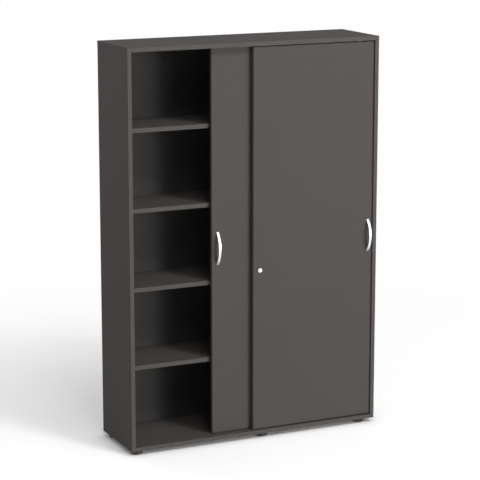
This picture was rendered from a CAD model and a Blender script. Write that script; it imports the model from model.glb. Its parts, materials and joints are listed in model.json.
"""Sliding door cabinet in warm dark grey melamine board, seen from its front left.

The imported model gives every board, track and fitting its place. The boards, tracks
and most fittings are redrawn from their solids with softly rounded edges. The bow
handles and their screws, the lock's housing and plug, and the glides are surfaces
worked out on grids of two parameters. Lengths are metres, +Z is up and the front
faces -Y.
"""

import json
import logging
import math
from dataclasses import dataclass
from enum import Enum
from functools import cached_property

import bmesh
import bpy
import numpy as np
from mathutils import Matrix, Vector

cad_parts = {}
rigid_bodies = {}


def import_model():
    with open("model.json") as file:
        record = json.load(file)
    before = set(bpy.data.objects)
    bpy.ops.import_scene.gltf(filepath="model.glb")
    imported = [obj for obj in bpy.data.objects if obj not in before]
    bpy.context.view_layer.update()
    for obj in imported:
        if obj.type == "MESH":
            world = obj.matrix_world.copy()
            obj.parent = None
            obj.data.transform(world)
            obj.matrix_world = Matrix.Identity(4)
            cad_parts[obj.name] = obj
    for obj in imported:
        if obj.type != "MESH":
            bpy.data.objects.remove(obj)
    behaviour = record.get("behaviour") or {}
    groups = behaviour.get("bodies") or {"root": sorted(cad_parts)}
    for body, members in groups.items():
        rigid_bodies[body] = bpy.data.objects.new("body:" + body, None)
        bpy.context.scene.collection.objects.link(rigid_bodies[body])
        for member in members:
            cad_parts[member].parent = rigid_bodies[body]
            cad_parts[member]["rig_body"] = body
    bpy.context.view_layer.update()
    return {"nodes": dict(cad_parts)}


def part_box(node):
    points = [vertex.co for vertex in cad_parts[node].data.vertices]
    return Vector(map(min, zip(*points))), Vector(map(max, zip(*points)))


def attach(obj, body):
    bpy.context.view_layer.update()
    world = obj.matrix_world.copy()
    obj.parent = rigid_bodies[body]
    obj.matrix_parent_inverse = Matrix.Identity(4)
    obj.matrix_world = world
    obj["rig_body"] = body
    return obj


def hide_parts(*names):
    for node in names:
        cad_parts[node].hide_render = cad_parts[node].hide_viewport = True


logging.basicConfig(level=logging.INFO, format="%(levelname)s %(message)s")
log = logging.getLogger("cabinet")

Grid = np.ndarray
Point = tuple[float, float, float]
Outline = list[tuple[float, float]]
Form = tuple[Grid, list[list[int]]]
Socket = bpy.types.NodeSocket

QUARTER_TURN = np.pi / 2
FULL_TURN = 2 * np.pi
WHITE = (1.0, 1.0, 1.0, 1.0)


class Body(str, Enum):
    """The doors, as moving groups that their pieces ride on."""

    FRONT_DOOR = "front_door"
    REAR_DOOR = "rear_door"


class Slot(str, Enum):
    """The record's material slots."""

    BOARD = "board"
    DOOR = "door"
    SHELF = "shelf"
    BACK = "back"
    TRACK = "track"
    RUBBER = "rubber"
    GLIDE = "glide"
    HANDLE = "handle"
    NYLON = "nylon"
    STEEL = "steel"
    PLASTIC = "plastic"
    NICKEL = "nickel"


class Rounding(float, Enum):
    """How wide the edges of a piece are rounded: the width of its bevel."""

    BANDED = 0.0009
    MOULDED = 0.0004
    FINE = 0.0003
    SMALL = 0.0002
    PLUG = 0.00015


# Materials


class NodeSheet:
    """The node tree of a material or of the world, with short calls that add and join nodes."""

    def __init__(
        self, owner: bpy.types.Material | bpy.types.World, output: str = "ShaderNodeOutputMaterial"
    ) -> None:
        """Empties the owner's node tree and gives it an output.

        Args:
            owner: The material or the world.
            output: The output node's type name.
        """
        owner.use_nodes = True
        self.owner = owner
        self.tree = owner.node_tree
        self.tree.nodes.clear()
        self.output = self.add(output)

    @cached_property
    def coordinates(self) -> Socket:
        """The surface's Object coordinates."""
        return self.add("ShaderNodeTexCoord").outputs["Object"]

    def add(self, kind: str, **settings: object) -> bpy.types.Node:
        """Adds a node.

        Args:
            kind: The node's type name.
            **settings: Attributes to set on the node.

        Returns:
            The new node.
        """
        node = self.tree.nodes.new(kind)
        for key, value in settings.items():
            setattr(node, key, value)
        return node

    def join(self, source: Socket, target: Socket) -> None:
        """Links an output socket to an input socket."""
        self.tree.links.new(source, target)

    def show(self, shader: Socket) -> None:
        """Joins a shader to the tree's output."""
        self.join(shader, self.output.inputs["Surface"])

    def noise(self, scale: Point, octaves: float, roughness: float = 0.5) -> Socket:
        """Adds noise on Object coordinates.

        Args:
            scale: Noise cells per metre along X, Y and Z.
            octaves: Octaves of detail.
            roughness: Weight of the finer octaves.

        Returns:
            The noise's value socket, around one half.
        """
        mapping = self.add("ShaderNodeMapping")
        mapping.inputs["Scale"].default_value = scale
        self.join(self.coordinates, mapping.inputs["Vector"])
        noise = self.add("ShaderNodeTexNoise")
        noise.inputs["Scale"].default_value = 1.0
        noise.inputs["Detail"].default_value = octaves
        noise.inputs["Roughness"].default_value = roughness
        self.join(mapping.outputs["Vector"], noise.inputs["Vector"])
        return noise.outputs["Fac"]

    def ranged(
        self, value: Socket, low: float, high: float, span: tuple[float, float] = (0.3, 0.7)
    ) -> Socket:
        """Maps a value's span onto low to high.

        Args:
            value: The value socket.
            low: Result at the span's start.
            high: Result at the span's end.
            span: The part of the value's range that is used.

        Returns:
            The mapped value socket.
        """
        mapper = self.add("ShaderNodeMapRange")
        mapper.inputs["From Min"].default_value = span[0]
        mapper.inputs["From Max"].default_value = span[1]
        mapper.inputs["To Min"].default_value = low
        mapper.inputs["To Max"].default_value = high
        self.join(value, mapper.inputs["Value"])
        return mapper.outputs["Result"]

    def worked(self, operation: str, first: Socket, second: Socket) -> Socket:
        """Works out one value from two.

        Args:
            operation: The Math node's operation.
            first: The first value socket.
            second: The second value socket.

        Returns:
            The result's socket.
        """
        node = self.add("ShaderNodeMath", operation=operation)
        self.join(first, node.inputs[0])
        self.join(second, node.inputs[1])
        return node.outputs[0]

    def blend(self, share: Socket, first: Point, second: Point) -> Socket:
        """Mixes two colours.

        Args:
            share: How much of the second colour shows.
            first: The first colour, linear.
            second: The second colour, linear.

        Returns:
            The colour socket.
        """
        mix = self.add("ShaderNodeMix", data_type="RGBA")
        mix.inputs["A"].default_value = (*first, 1.0)
        mix.inputs["B"].default_value = (*second, 1.0)
        self.join(share, mix.inputs["Factor"])
        return mix.outputs["Result"]

    def mixed(self, share: Socket, first: Socket, second: Socket) -> Socket:
        """Mixes two shaders.

        Args:
            share: How much of the second shader shows.
            first: The first shader's socket.
            second: The second shader's socket.

        Returns:
            The mixed shader's socket.
        """
        mix = self.add("ShaderNodeMixShader")
        self.join(share, mix.inputs["Fac"])
        self.join(first, mix.inputs[1])
        self.join(second, mix.inputs[2])
        return mix.outputs["Shader"]

    def bump(self, height: Socket, distance: float) -> Socket:
        """Adds a fine relief.

        Args:
            height: The height socket, 0 to 1.
            distance: Depth in metres.

        Returns:
            The normal socket.
        """
        bump = self.add("ShaderNodeBump")
        bump.inputs["Distance"].default_value = distance
        self.join(height, bump.inputs["Height"])
        return bump.outputs["Normal"]

    def shown(self) -> Socket:
        """Tells rays that show a surface from those that only gather its light.

        Returns:
            A value socket: 1 for camera, glossy and transmission rays, and 0 for the rest.
        """
        path = self.add("ShaderNodeLightPath")
        shown = path.outputs["Is Camera Ray"]
        for kind in ("Is Glossy Ray", "Is Transmission Ray"):
            shown = self.worked("MAXIMUM", shown, path.outputs[kind])
        return shown


@dataclass(frozen=True)
class Finish:
    """A surface finish: two close tones, a roughness span and a fine relief.

    Tones are linear RGB. Cloud and grain are noise cells per metre along X, Y and Z.
    """

    name: str
    tone: Point
    second_tone: Point
    roughness: tuple[float, float]
    metallic: float = 0.0
    cloud: Point = (3.0, 3.0, 3.0)
    grain: Point = (900.0, 900.0, 900.0)
    octaves: float = 3.0
    grain_roughness: float = 0.6
    relief: float = 0.00002
    specular: float = 0.5

    def material(self) -> bpy.types.Material:
        """Makes the finish's node material.

        Slow noise drifts between the two tones, fine noise speckles them and sets
        the roughness, and the same fine noise is the relief.

        Returns:
            The material.
        """
        sheet = NodeSheet(bpy.data.materials.new(self.name))
        shader = sheet.add("ShaderNodeBsdfPrincipled")
        shader.inputs["Metallic"].default_value = self.metallic
        shader.inputs["Specular IOR Level"].default_value = self.specular
        cloud = sheet.noise(self.cloud, self.octaves)
        grain = sheet.noise(self.grain, self.octaves, self.grain_roughness)
        drift = sheet.worked("ADD", sheet.ranged(cloud, 0.0, 0.5), sheet.ranged(grain, 0.0, 0.5))
        sheet.join(sheet.blend(drift, self.tone, self.second_tone), shader.inputs["Base Color"])
        sheet.join(sheet.ranged(grain, *self.roughness), shader.inputs["Roughness"])
        sheet.join(sheet.bump(grain, self.relief), shader.inputs["Normal"])
        sheet.show(shader.outputs["BSDF"])
        return sheet.owner


def tones(red: float, green: float, blue: float, spread: float) -> tuple[Point, Point]:
    """Gives two tones a small step apart, from one sRGB colour.

    The sRGB curve makes a value c linear as c / 12.92 where c is at most 0.04045,
    and as ((c + 0.055) / 1.055) to the power 2.4 above that.

    Args:
        red: sRGB red, 0 to 255.
        green: sRGB green, 0 to 255.
        blue: sRGB blue, 0 to 255.
        spread: Half the step, as a share of the colour.

    Returns:
        The darker and the lighter tone, linear.
    """
    srgb = np.array([red, green, blue]) / 255.0
    linear = np.where(srgb <= 0.04045, srgb / 12.92, ((srgb + 0.055) / 1.055) ** 2.4)
    return tuple(linear * (1 - spread)), tuple(linear * (1 + spread))


class Palette:
    """Every finish of the cabinet, made once.

    Matt and faint_sheen are specular levels, and each grain is in noise cells per
    metre, so a low number draws it out along that axis.
    """

    matt = 0.03
    faint_sheen = 0.08
    board_roughness = (0.55, 0.65)
    drawn_grain = (40.0, 1500.0, 1500.0)
    zinc_grain = (2500.0, 2500.0, 2500.0)
    brushed_grain = (4000.0, 4000.0, 250.0)

    def __init__(self) -> None:
        """Makes the materials."""
        melamine = tones(93.0, 88.5, 86.0, 0.035)
        shelf = tones(103.0, 99.3, 96.6, 0.035)
        edge = tones(94.5, 90.1, 87.7, 0.02)
        hardboard = tones(84.0, 82.5, 81.5, 0.05)
        track = tones(92.0, 88.0, 85.5, 0.03)
        glide = tones(60.0, 58.0, 56.5, 0.06)
        rubber = tones(24.0, 23.0, 23.0, 0.08)
        nylon = tones(64.0, 63.0, 61.0, 0.05)
        plastic = tones(58.0, 57.0, 56.0, 0.05)
        steel = tones(188.0, 190.0, 192.0, 0.03)
        satin = tones(232.0, 232.0, 230.0, 0.015)
        board = {"roughness": self.board_roughness, "specular": self.matt}
        self.board = Finish("melamine_board", *melamine, **board).material()
        self.door = Finish("melamine_door", *melamine, **board).material()
        self.shelf = Finish("melamine_shelf", *shelf, **board).material()
        self.edge = Finish(
            "edge_band", *edge, roughness=(0.5, 0.6), relief=0.00001, specular=self.faint_sheen
        ).material()
        self.back = Finish(
            "hardboard", *hardboard, roughness=(0.6, 0.72), relief=0.00004, specular=self.matt
        ).material()
        self.track = Finish("track_plastic", *track, grain=self.drawn_grain, **board).material()
        self.glide = Finish("glide_plastic", *glide, roughness=(0.5, 0.62), relief=0.00006).material()
        self.rubber = Finish("buffer_rubber", *rubber, roughness=(0.75, 0.9)).material()
        self.nylon = Finish("roller_nylon", *nylon, roughness=(0.4, 0.5), relief=0.00001).material()
        self.plastic = Finish(
            "housing_plastic", *plastic, roughness=(0.45, 0.55), relief=0.00004
        ).material()
        self.steel = Finish(
            "zinc_steel", *steel, roughness=(0.28, 0.42), metallic=1.0, grain=self.zinc_grain
        ).material()
        self.satin = Finish(
            "satin_metal",
            *satin,
            roughness=(0.3, 0.4),
            metallic=1.0,
            grain=self.brushed_grain,
            relief=0.000006,
        ).material()


# Surfaces


def grid_faces(rows: int, columns: int) -> Grid:
    """Lists the quads of a grid of points kept row by row, whose last column joins its first.

    Quad (i, j) joins points (i, j), (i, j + 1), (i + 1, j + 1) and (i + 1, j).

    Args:
        rows: Number of rows.
        columns: Number of columns.

    Returns:
        Vertex numbers, one quad per row of the array.
    """
    i, j = np.meshgrid(np.arange(rows - 1), np.arange(columns), indexing="ij")
    k = (j + 1) % columns
    quads = np.stack([i * columns + j, i * columns + k, (i + 1) * columns + k, (i + 1) * columns + j], -1)
    return quads.reshape(-1, 4)


def capped_tube(rings: Grid) -> Form:
    """Closes a stack of rings with a fan at each end.

    Args:
        rings: Points as (ring, place round it, xyz), each ring counter-clockwise
            as seen from beyond the last ring.

    Returns:
        The vertices and the faces, which point outwards.
    """
    rows, columns = rings.shape[:2]
    vertices = np.concatenate([rings.reshape(-1, 3), rings[:1].mean(1), rings[-1:].mean(1)])
    faces = grid_faces(rows, columns).tolist()
    j = np.arange(columns)
    k = (j + 1) % columns
    first, last = rows * columns, rows * columns + 1
    faces += np.stack([k, j, np.full(columns, first)], -1).tolist()
    base = (rows - 1) * columns
    faces += np.stack([base + j, base + k, np.full(columns, last)], -1).tolist()
    return vertices, faces


def revolve(profile: Outline, centre: Point, segments: int) -> Form:
    """Turns a profile round an upright axis: point (r, h) becomes a ring of radius r at height h.

    Args:
        profile: Radius and height pairs along the outline, from low to high.
        centre: The axis's point at height 0.
        segments: Points round each ring.

    Returns:
        The vertices and the faces of the closed solid.
    """
    radius, height = np.array(profile).T[:, :, None]
    angle = np.linspace(0, FULL_TURN, segments, endpoint=False)[None, :]
    across, along = radius * np.cos(angle), radius * np.sin(angle)
    rings = np.stack([across, along, np.broadcast_to(height, across.shape)], -1)
    return capped_tube(rings + np.array(centre))


def revolve_loop(loop: Outline, centre: Point, segments: int) -> Form:
    """Turns a closed loop of (radius, depth) points round the Y axis into a ring-shaped solid.

    Point (r, d) becomes the circle (r cos a, d, r sin a) about the centre. The loop runs
    outwards along the front, then backwards, so that the faces point out.

    Args:
        loop: Radius and depth pairs; the last joins the first.
        centre: The axis's point at depth 0.
        segments: Points round each circle.

    Returns:
        The vertices and faces.
    """
    radius, depth = np.array(loop).T[:, :, None]
    angle = np.linspace(0, FULL_TURN, segments, endpoint=False)[None, :]
    across, up = radius * np.cos(angle), radius * np.sin(angle)
    layers = np.stack([across, np.broadcast_to(depth, across.shape), up], -1)
    quads = grid_faces(len(loop) + 1, segments) % (len(loop) * segments)
    return layers.reshape(-1, 3) + np.array(centre), quads[:, ::-1].tolist()


def direction(azimuth: float, elevation: float) -> Vector:
    """Gives the unit vector (sin a cos e, -cos a cos e, sin e).

    Args:
        azimuth: a in degrees: 0 is in front of the cabinet and 90 at its right.
        elevation: e in degrees above the level.

    Returns:
        The way from the cabinet to what stands there.
    """
    turn, rise = math.radians(azimuth), math.radians(elevation)
    level = math.cos(rise)
    return Vector((math.sin(turn) * level, -math.cos(turn) * level, math.sin(rise)))


def link(item: bpy.types.Object) -> None:
    """Puts an object into the scene."""
    bpy.context.scene.collection.objects.link(item)


class Workshop:
    """Puts finished meshes into the scene and fastens them to the cabinet.

    Points closer than merge_distance become one, faces that meet at less than
    flat_angle become one, and edges sharper than sharp_angle are rounded.
    """

    merge_distance = 2e-6
    flat_angle = math.radians(0.5)
    sharp_angle = math.radians(40)
    flat_weight = 100
    facing_front = -0.9

    def __init__(self, nodes: dict[str, bpy.types.Object], palette: Palette) -> None:
        """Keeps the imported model's nodes and the finishes.

        Args:
            nodes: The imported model's objects by node name.
            palette: The cabinet's finishes.
        """
        self.nodes = nodes
        self.palette = palette

    def place(
        self,
        name: str,
        form: Form,
        material: bpy.types.Material,
        body: Body | str,
        slot: Slot,
        replaces: tuple[str, ...] = (),
    ) -> bpy.types.Object:
        """Makes an object from vertices and faces, and fastens it.

        Args:
            name: The piece's name.
            form: Vertices and faces.
            material: Its finish.
            body: The moving group that it rides on.
            slot: The record's material slot.
            replaces: Nodes that it stands for.

        Returns:
            The new object.
        """
        vertices, faces = form
        mesh = bpy.data.meshes.new(name)
        mesh.from_pydata(vertices.tolist(), [], faces)
        self._shade_smooth(mesh)
        mesh.update()
        return self.fasten(name, mesh, material, body, replaces)

    def fasten(
        self,
        name: str,
        mesh: bpy.types.Mesh,
        material: bpy.types.Material,
        body: Body | str,
        replaces: tuple[str, ...] = (),
    ) -> bpy.types.Object:
        """Makes an object of a mesh, gives it a finish and lets it ride on a body.

        Args:
            name: The piece's name.
            mesh: Its mesh.
            material: Its finish.
            body: The moving group that it rides on.
            replaces: Nodes that it stands for.

        Returns:
            The new object.
        """
        mesh.materials.append(material)
        piece = bpy.data.objects.new(name, mesh)
        link(piece)
        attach(piece, body.value if isinstance(body, Body) else body)
        if replaces:
            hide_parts(*replaces)
        log.info("piece %s: %d vertices, rides on %s", name, len(mesh.vertices), body)
        return piece

    def rounded(
        self,
        node: str,
        material: bpy.types.Material,
        slot: Slot,
        width: Rounding,
        edge: bpy.types.Material | None = None,
    ) -> bpy.types.Object:
        """Redraws a node with rounded edges: its solid, merged, with each sharp edge bevelled.

        Args:
            node: The node that the piece stands for.
            material: The finish of its faces.
            slot: The record's material slot.
            width: Bevel width.
            edge: The finish of its faces that look forwards, if they are banded.

        Returns:
            The new piece.
        """
        source = self.nodes[node]
        sketch = bmesh.new()
        sketch.from_mesh(source.data)
        bmesh.ops.remove_doubles(sketch, verts=sketch.verts, dist=self.merge_distance)
        bmesh.ops.dissolve_limit(
            sketch, angle_limit=self.flat_angle, verts=sketch.verts, edges=sketch.edges
        )
        mesh = bpy.data.meshes.new(f"{node}_form")
        sketch.to_mesh(mesh)
        sketch.free()
        mesh.materials.clear()
        if edge is not None:
            self._band(mesh)
        self._shade_smooth(mesh)
        piece = self.fasten(f"{node}_form", mesh, material, source["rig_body"], (node,))
        if edge is not None:
            mesh.materials.append(edge)
        return self.soften(piece, width)

    def soften(self, piece: bpy.types.Object, width: Rounding, steps: int = 2) -> bpy.types.Object:
        """Rounds a piece's sharp edges, and keeps its flat faces flat in the shading.

        Args:
            piece: The piece.
            width: Bevel width.
            steps: Steps in the bevel.

        Returns:
            The same piece.
        """
        bevel = piece.modifiers.new("edges", "BEVEL")
        bevel.width = width.value
        bevel.segments = steps
        bevel.limit_method = "ANGLE"
        bevel.angle_limit = self.sharp_angle
        bevel.use_clamp_overlap = True
        flats = piece.modifiers.new("flats", "WEIGHTED_NORMAL")
        flats.weight = self.flat_weight
        flats.keep_sharp = False
        return piece

    def _band(self, mesh: bpy.types.Mesh) -> None:
        """Gives a board's second finish to its faces that look forwards, along -Y.

        Args:
            mesh: The board's mesh.
        """
        normals = np.zeros(len(mesh.polygons) * 3)
        mesh.polygons.foreach_get("normal", normals)
        facing = normals.reshape(-1, 3)[:, 1] < self.facing_front
        mesh.polygons.foreach_set("material_index", facing.astype(np.int32))

    def _shade_smooth(self, mesh: bpy.types.Mesh) -> None:
        """Shades every face of a mesh smooth."""
        mesh.polygons.foreach_set("use_smooth", np.full(len(mesh.polygons), True))


# Sub-assemblies


@dataclass
class Carcass:
    """The fixed boards, shelves, back panels, tracks and buffers."""

    shop: Workshop
    boards: tuple[str, ...] = ("top_panel", "bottom_panel", "left_side", "right_side", "centre_partition")
    backs: tuple[str, ...] = ("left_back_panel", "right_back_panel")
    buffers: tuple[str, ...] = ("front_door_buffer", "rear_door_buffer")
    levels: int = 4

    def build(self) -> None:
        """Builds the boards, the shelves and the small fixed pieces."""
        palette = self.shop.palette
        for node in self.boards:
            face = palette.shelf if node == "bottom_panel" else palette.board
            self.shop.rounded(node, face, Slot.BOARD, Rounding.BANDED, palette.edge)
        for bay in ("left", "right"):
            for level in range(1, self.levels + 1):
                node = f"{bay}_shelf_{level}"
                self.shop.rounded(node, palette.shelf, Slot.SHELF, Rounding.BANDED, palette.edge)
        for node in self.backs:
            self.shop.rounded(node, palette.back, Slot.BACK, Rounding.MOULDED)
        for lane in ("front", "rear"):
            for level in ("lower", "upper"):
                self.shop.rounded(f"{lane}_{level}_track", palette.track, Slot.TRACK, Rounding.FINE)
        for node in self.buffers:
            self.shop.rounded(node, palette.rubber, Slot.RUBBER, Rounding.SMALL)


@dataclass
class Glides:
    """The six round feet and the sockets that they screw into."""

    shop: Workshop
    radius: float = 0.025
    height: float = 0.011
    sole_round: float = 0.003
    shoulder_round: float = 0.0015
    sole_radius: float = 0.012
    stem_radius: float = 0.005
    stem_tip_radius: float = 0.0042
    stem_chamfer: float = 0.001
    sole_steps: int = 7
    shoulder_steps: int = 5
    segments: int = 64

    def build(self) -> None:
        """Builds each glide and socket round the axis of its node."""
        for row in ("front", "back"):
            for place in ("left", "middle", "right"):
                self._glide(f"{row}_{place}")

    def _rim(self, size: float, level: float, turn: Grid) -> Outline:
        """Rounds the rim with an arc: (radius - size + size cos a, level + size sin a).

        Args:
            size: The arc's radius.
            level: The height of the arc's middle.
            turn: The angles a.

        Returns:
            Radius and height pairs.
        """
        middle = self.radius - size
        return [(middle + size * math.cos(angle), level + size * math.sin(angle)) for angle in turn]

    def _glide(self, place: str) -> None:
        """Builds one glide, and redraws its socket with rounded edges.

        The glide's outline rises from its flat sole through a quarter circle to its
        rim, in over a smaller one at its shoulder, and up its stem.

        Args:
            place: Its row and place, such as front_left.
        """
        node, socket = f"{place}_glide", f"{place}_socket"
        low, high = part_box(node)
        centre = ((low.x + high.x) / 2, (low.y + high.y) / 2, 0.0)
        sole = self._rim(self.sole_round, self.sole_round, np.linspace(-QUARTER_TURN, 0, self.sole_steps))
        shoulder = self._rim(
            self.shoulder_round,
            self.height - self.shoulder_round,
            np.linspace(0, QUARTER_TURN, self.shoulder_steps),
        )
        stem = [
            (self.stem_radius, self.height),
            (self.stem_radius, high.z - self.stem_chamfer),
            (self.stem_tip_radius, high.z),
        ]
        form = revolve([(self.sole_radius, 0.0), *sole, *shoulder, *stem], centre, self.segments)
        finish = self.shop.palette.glide
        self.shop.place(f"{node}_form", form, finish, node, Slot.GLIDE, (node,))
        self.shop.rounded(socket, finish, Slot.GLIDE, Rounding.MOULDED)


@dataclass(frozen=True)
class PanScrew:
    """The head of a handle's screw: a shallow dome with a sunk cross, on the door's back."""

    radius: float = 0.004
    rise: float = 0.0014
    fall: float = 0.75
    cross_half: float = 0.00045
    cross_reach: float = 0.6
    cross_depth: float = 0.0007
    innermost: float = 0.02
    rings: int = 14
    segments: int = 48

    def form(self, seat: Point) -> Form:
        """Works out the head.

        At share s of its radius the dome is rise sqrt(1 - fall s^2) high, less the
        cross's depth where a point lies in one of its arms, along X or Z.

        Args:
            seat: The middle of the head's underside.

        Returns:
            The vertices and faces.
        """
        share = np.linspace(1, self.innermost, self.rings)[:, None]
        angle = np.linspace(0, FULL_TURN, self.segments, endpoint=False)[None, :]
        across, up = self.radius * share * np.cos(angle), self.radius * share * np.sin(angle)
        near_arm = np.minimum(np.abs(across), np.abs(up)) < self.cross_half
        cross = near_arm & (share < self.cross_reach)
        height = self.rise * np.sqrt(1 - self.fall * share**2) - self.cross_depth * cross
        underside = np.stack([across[:1], np.zeros((1, self.segments)), up[:1]], -1)
        rings = np.concatenate([underside, np.stack([across, height, up], -1)]) + np.array(seat)
        return capped_tube(rings[:, ::-1])


@dataclass
class BowHandle:
    """A bow handle: a flat strap between two arcs, thickest where it meets the door."""

    shop: Workshop
    door: Body
    length: float = 0.146
    opening: float = 0.114
    projection: float = 0.028
    strap: float = 0.004
    width: float = 0.012
    corner: float = 0.0016
    corner_share: float = 0.98
    tip_share: float = 0.9995
    tip_thickness: float = 0.0004
    stations: int = 97
    corner_steps: int = 6
    screw: PanScrew = PanScrew()
    screw_spacing: float = 0.128
    door_board: float = 0.018
    seam: float = 0.0003

    def build(self) -> None:
        """Builds the strap and its screws."""
        node = f"{self.door.value}_handle"
        low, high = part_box(node)
        x, y, z = (low.x + high.x) / 2, high.y, (low.z + high.z) / 2
        palette = self.shop.palette
        self.shop.place(
            f"{node}_bow", self._bow((x, y, z)), palette.satin, self.door, Slot.HANDLE, (node,)
        )
        back = y + self.seam + self.door_board
        for end, sign in (("lower", -1), ("upper", 1)):
            head = self.screw.form((x, back, z + sign * self.screw_spacing / 2))
            self.shop.place(f"{node}_{end}_screw", head, palette.steel, self.door, Slot.STEEL)

    def _arc(self, z: Grid, half: float, rise: float) -> Grid:
        """Height of a circular arc over a chord.

        The arc through (-half, 0), (0, rise) and (half, 0) has radius
        (half^2 + rise^2) / (2 rise), so its height at z is sqrt(R^2 - z^2) - (R - rise).

        Args:
            z: Places along the chord, from its middle.
            half: Half the chord.
            rise: Height at the middle.

        Returns:
            Heights, zero beyond the chord.
        """
        radius = (half * half + rise * rise) / (2 * rise)
        inside = np.sqrt(np.maximum(radius**2 - z**2, 0.0)) - (radius - rise)
        return np.where(np.abs(z) < half, np.maximum(inside, 0.0), 0.0)

    def _bow(self, centre: Point) -> Form:
        """Carries a rounded rectangle along the bow.

        At place z the section spans x from -width/2 to width/2 and y from the inner
        arc to the outer arc, with corner arcs no larger than half its thickness. It
        stops at tip_share of the half length, where it is tip_thickness thick.

        Args:
            centre: The middle of the handle's seat on the door.

        Returns:
            The vertices and faces.
        """
        half = self.length / 2
        turn = np.linspace(-QUARTER_TURN, QUARTER_TURN, self.stations)
        z = half * self.tip_share * np.sin(turn)
        outer = np.maximum(self._arc(z, half, self.projection), self.tip_thickness)
        inner = self._arc(z, self.opening / 2, self.projection - self.strap)
        middle, thick = (outer + inner) / 2, (outer - inner) / 2
        radius = np.minimum(self.corner, thick * self.corner_share)
        quarter = np.linspace(0, QUARTER_TURN, self.corner_steps)
        sections = []
        for start, (sx, sy) in enumerate(((1, 1), (-1, 1), (-1, -1), (1, -1))):
            angle = quarter + start * QUARTER_TURN
            x = sx * (self.width / 2 - radius)[:, None] + radius[:, None] * np.cos(angle)
            y = sy * (thick - radius)[:, None] + radius[:, None] * np.sin(angle)
            sections.append(np.stack([x, y + middle[:, None]], -1))
        outline = np.concatenate(sections, axis=1)
        along = np.broadcast_to(z[:, None], outline.shape[:2])
        layers = (centre[0] - outline[..., 0], centre[1] - outline[..., 1], centre[2] + along)
        return capped_tube(np.stack(layers, -1))


@dataclass
class Door:
    """A sliding door: its board, bow handle, rollers in their housings and upper guides."""

    shop: Workshop
    body: Body

    def build(self) -> None:
        """Builds the board, the handle and the running gear."""
        palette = self.shop.palette
        name = self.body.value
        self.shop.rounded(f"{name}_panel", palette.door, Slot.DOOR, Rounding.BANDED)
        BowHandle(self.shop, self.body).build()
        for hand in ("left", "right"):
            stem = f"{name}_{hand}"
            for fitting in ("housing", "guide"):
                self.shop.rounded(f"{stem}_{fitting}", palette.plastic, Slot.PLASTIC, Rounding.MOULDED)
            self.shop.rounded(f"{stem}_axle", palette.steel, Slot.STEEL, Rounding.SMALL)
            self.shop.rounded(f"{stem}_roller", palette.nylon, Slot.NYLON, Rounding.SMALL)


@dataclass
class CylinderLock:
    """The lock in the front door: a rosette with its barrel, the plug in it, the bolt and the nut."""

    shop: Workshop
    rosette_radius: float = 0.009
    rosette_thickness: float = 0.0022
    barrel_radius: float = 0.008
    plug_bore: float = 0.0058
    plug_bore_depth: float = 0.0058
    bolt_bore: float = 0.0043
    plug_radius: float = 0.0055
    slot_width: float = 0.0014
    slot_length: float = 0.0065
    slot_depth: float = 0.004
    rim_steps: int = 3
    segments: int = 80

    def build(self) -> None:
        """Builds the housing and the plug as turned forms, and dresses the bolt and the nut."""
        palette = self.shop.palette
        low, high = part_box("lock_housing")
        centre = ((low.x + high.x) / 2, low.y, (low.z + high.z) / 2)
        housing = self.shop.place(
            "lock_housing_form",
            revolve_loop(self._housing(high.y - low.y), centre, self.segments),
            palette.satin,
            Body.FRONT_DOOR,
            Slot.NICKEL,
            ("lock_housing",),
        )
        self.shop.soften(housing, Rounding.FINE, self.rim_steps)
        front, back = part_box("lock_plug")
        plug = self.shop.place(
            "lock_plug_form",
            self._plug((centre[0], front.y, centre[2]), back.y - front.y),
            palette.steel,
            "lock_plug",
            Slot.NICKEL,
            ("lock_plug",),
        )
        self.shop.soften(plug, Rounding.PLUG)
        self.shop.rounded("lock_bolt", palette.steel, Slot.STEEL, Rounding.SMALL)
        self.shop.rounded("lock_nut", palette.steel, Slot.STEEL, Rounding.FINE)

    def _housing(self, length: float) -> Outline:
        """Gives the outline of the rosette and barrel, bored for the plug and the bolt.

        Args:
            length: From the rosette's face to the barrel's end.

        Returns:
            Radius and depth pairs.
        """
        return [
            (self.plug_bore, 0.0),
            (self.rosette_radius, 0.0),
            (self.rosette_radius, self.rosette_thickness),
            (self.barrel_radius, self.rosette_thickness),
            (self.barrel_radius, length),
            (self.bolt_bore, length),
            (self.bolt_bore, self.plug_bore_depth),
            (self.plug_bore, self.plug_bore_depth),
        ]

    def _plug(self, seat: Point, depth: float) -> Form:
        """Builds a disc with a sunk key slot.

        At angle a the slot's edge lies where the ray meets a rectangle, at
        min(w / |cos a|, l / |sin a|) from the middle, where w and l are half its
        width and length. Rings run from the slot's floor over its edge and the
        disc's face to the disc's back.

        Args:
            seat: The middle of the plug's face.
            depth: The plug's length.

        Returns:
            The vertices and faces.
        """
        angle = np.linspace(0, FULL_TURN, self.segments, endpoint=False)
        nearly_zero = 1e-6
        across = np.maximum(np.abs(np.cos(angle)), nearly_zero)
        up = np.maximum(np.abs(np.sin(angle)), nearly_zero)
        slot = np.minimum(self.slot_width / 2 / across, self.slot_length / 2 / up)
        disc = np.full(self.segments, self.plug_radius)
        rings = []
        for radius, y in ((slot, self.slot_depth), (slot, 0.0), (disc, 0.0), (disc, depth)):
            level = np.full(self.segments, y)
            rings.append(np.stack([radius * np.cos(angle), level, radius * np.sin(angle)], -1))
        return capped_tube(np.stack(rings)[:, ::-1] + np.array(seat))


# Studio


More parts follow.
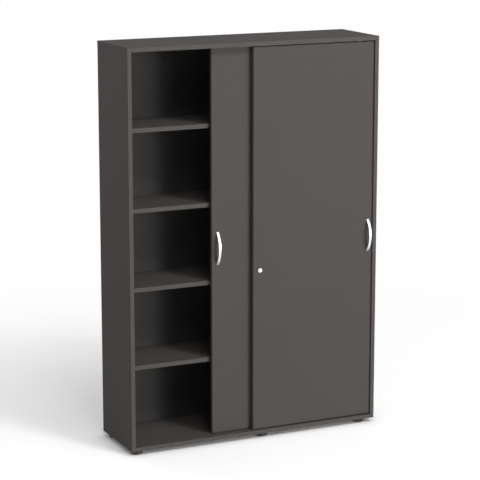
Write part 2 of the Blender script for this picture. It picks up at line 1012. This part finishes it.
@dataclass(frozen=True)
class Lamp:
    """A round soft light that faces a point of the cabinet.

    Azimuth and elevation are degrees, and the power is in watts.
    """

    name: str
    azimuth: float
    elevation: float
    size: float
    power: float
    distance: float = 12.0
    target: Point = (0.0, 0.0, 0.9)

    def build(self) -> None:
        """Makes the light and turns it to its target."""
        away = direction(self.azimuth, self.elevation)
        data = bpy.data.lights.new(self.name, "AREA")
        data.shape = "DISK"
        data.size = self.size
        data.energy = self.power
        lamp = bpy.data.objects.new(self.name, data)
        lamp.location = Vector(self.target) + away * self.distance
        lamp.rotation_mode = "QUATERNION"
        lamp.rotation_quaternion = away.to_track_quat("Z", "Y")
        link(lamp)


@dataclass(frozen=True)
class PaleFloor:
    """The floor: matt off-white paint, which the camera sees brighter than the cabinet does."""

    half: float = 45.0
    tone: float = 0.82
    shown_tone: float = 1.37
    speck_shares: Point = (0.985, 0.985, 0.98)
    speck: Point = (60.0, 60.0, 60.0)
    speck_octaves: float = 4.0
    glow: float = 0.55
    contact_reach: float = 0.065
    contact_share: float = 0.97
    shade_reach: float = 2.4
    shade_share: float = 0.56
    shelter_samples: int = 8
    fade: tuple[float, float] = (0.8, 3.3)

    def build(self) -> None:
        """Lays the floor out as one wide square."""
        half = self.half
        corners = [(-half, -half, 0.0), (half, -half, 0.0), (half, half, 0.0), (-half, half, 0.0)]
        mesh = bpy.data.meshes.new("floor")
        mesh.from_pydata(corners, [], [(0, 1, 2, 3)])
        mesh.materials.append(self._material())
        floor = bpy.data.objects.new("floor", mesh)
        link(floor)

    def _material(self) -> bpy.types.Material:
        """Makes the floor's material.

        Rays that gather light meet plain paint. Rays that show the floor meet paint
        with a gain and a glow, which turn into plain white between the two distances
        of fade, measured from the origin.

        Returns:
            The material.
        """
        sheet = NodeSheet(bpy.data.materials.new("pale_floor"))
        specks = sheet.noise(self.speck, self.speck_octaves)
        plain, bright = (self._paint(sheet, specks, tone) for tone in (self.tone, self.shown_tone))
        lifted = sheet.add("ShaderNodeAddShader")
        sheet.join(bright, lifted.inputs[0])
        sheet.join(self._glow(sheet), lifted.inputs[1])
        white = sheet.add("ShaderNodeEmission")
        distance = sheet.add("ShaderNodeVectorMath", operation="LENGTH")
        sheet.join(sheet.coordinates, distance.inputs[0])
        far = sheet.ranged(distance.outputs["Value"], 0.0, 1.0, self.fade)
        seen = sheet.mixed(far, lifted.outputs["Shader"], white.outputs["Emission"])
        sheet.show(sheet.mixed(sheet.shown(), plain, seen))
        return sheet.owner

    def _paint(self, sheet: NodeSheet, specks: Socket, tone: float) -> Socket:
        """Adds matt paint with faint specks.

        Args:
            sheet: The floor's node sheet.
            specks: The specks' noise.
            tone: How much light the paint gives back.

        Returns:
            The paint's shader socket.
        """
        paint = sheet.add("ShaderNodeBsdfDiffuse")
        darker = tuple(tone * share for share in self.speck_shares)
        sheet.join(sheet.blend(specks, (tone, tone, tone), darker), paint.inputs["Color"])
        return paint.outputs["BSDF"]

    def _glow(self, sheet: NodeSheet) -> Socket:
        """Adds a white glow that weakens where the cabinet shelters the floor, near and far.

        Args:
            sheet: The floor's node sheet.

        Returns:
            The glow's shader socket.
        """
        contact = self._open_share(sheet, self.contact_reach, self.contact_share, self.glow)
        wide = self._open_share(sheet, self.shade_reach, self.shade_share, 1.0)
        glow = sheet.add("ShaderNodeEmission")
        sheet.join(sheet.worked("MULTIPLY", contact, wide), glow.inputs["Strength"])
        return glow.outputs["Emission"]

    def _open_share(self, sheet: NodeSheet, reach: float, share: float, full: float) -> Socket:
        """Measures how open the floor is to the room around it.

        Args:
            sheet: The floor's node sheet.
            reach: How far away a thing still shelters the floor.
            share: How much of the light full shelter takes.
            full: The value where nothing shelters the floor.

        Returns:
            The value socket, from full times (1 - share) to full.
        """
        shelter = sheet.add("ShaderNodeAmbientOcclusion", samples=self.shelter_samples)
        shelter.inputs["Distance"].default_value = reach
        return sheet.ranged(shelter.outputs["AO"], full * (1 - share), full, (0.0, 1.0))


@dataclass
class Studio:
    """The pale floor, the white surroundings, the soft lights and the camera."""

    floor: PaleFloor = PaleFloor()
    camera_place: Point = (-3.512936, -7.416986, 2.615383)
    camera_azimuth: float = -25.316
    camera_elevation: float = 11.950
    camera_lens: float = 141.144
    camera_sensor: float = 36.0
    camera_range: float = 200.0
    lamps: tuple[Lamp, ...] = (
        Lamp("key", 22.0, 3.0, 2.6, 322.0),
        Lamp("key_high", 22.0, 45.0, 2.6, 306.0),
        Lamp("key_fill", 12.0, 15.0, 2.6, 98.0),
        Lamp("right_low", 42.0, 3.0, 2.6, 226.0),
        Lamp("right_fill", 32.0, 3.0, 2.6, 147.0),
        Lamp("front_top", -12.0, 45.0, 3.6, 124.0),
        Lamp("top", 2.0, 60.0, 2.6, 60.0),
        Lamp("front_left", -40.0, 30.0, 3.6, 35.0),
        Lamp("left_side", -80.0, 3.0, 3.6, 165.0),
        Lamp("back_left", -150.0, 3.0, 3.6, 175.0),
        Lamp("back", 180.0, 3.0, 3.6, 200.0),
    )

    def build(self) -> None:
        """Builds the surroundings, the floor, the lamps and the camera."""
        self._surroundings()
        self.floor.build()
        for lamp in self.lamps:
            lamp.build()
        self._camera()
        bpy.context.scene.view_settings.view_transform = "Standard"

    def _surroundings(self) -> None:
        """Makes the world white where it shows, directly or in a gloss; it lights nothing else."""
        world = bpy.data.worlds.new("studio")
        bpy.context.scene.world = world
        sheet = NodeSheet(world, "ShaderNodeOutputWorld")
        white = sheet.add("ShaderNodeBackground")
        white.inputs["Color"].default_value = WHITE
        sheet.join(sheet.shown(), white.inputs["Strength"])
        sheet.show(white.outputs["Background"])

    def _camera(self) -> None:
        """Sets the camera at the photograph's place, angle and field of view."""
        ahead = -direction(self.camera_azimuth, self.camera_elevation)
        data = bpy.data.cameras.new("camera")
        data.sensor_width = self.camera_sensor
        data.lens = self.camera_lens
        data.clip_end = self.camera_range
        camera = bpy.data.objects.new("camera", data)
        camera.location = self.camera_place
        camera.rotation_mode = "QUATERNION"
        camera.rotation_quaternion = ahead.to_track_quat("-Z", "Y")
        link(camera)
        bpy.context.scene.camera = camera


def main() -> None:
    """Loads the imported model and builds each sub-assembly in turn."""
    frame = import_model()
    shop = Workshop(frame["nodes"], Palette())
    assemblies = (
        Carcass(shop),
        Glides(shop),
        Door(shop, Body.FRONT_DOOR),
        Door(shop, Body.REAR_DOOR),
        CylinderLock(shop),
    )
    for assembly in assemblies:
        assembly.build()
        log.info("built %s", type(assembly).__name__)
    Studio().build()


if __name__ == "__main__":
    main()
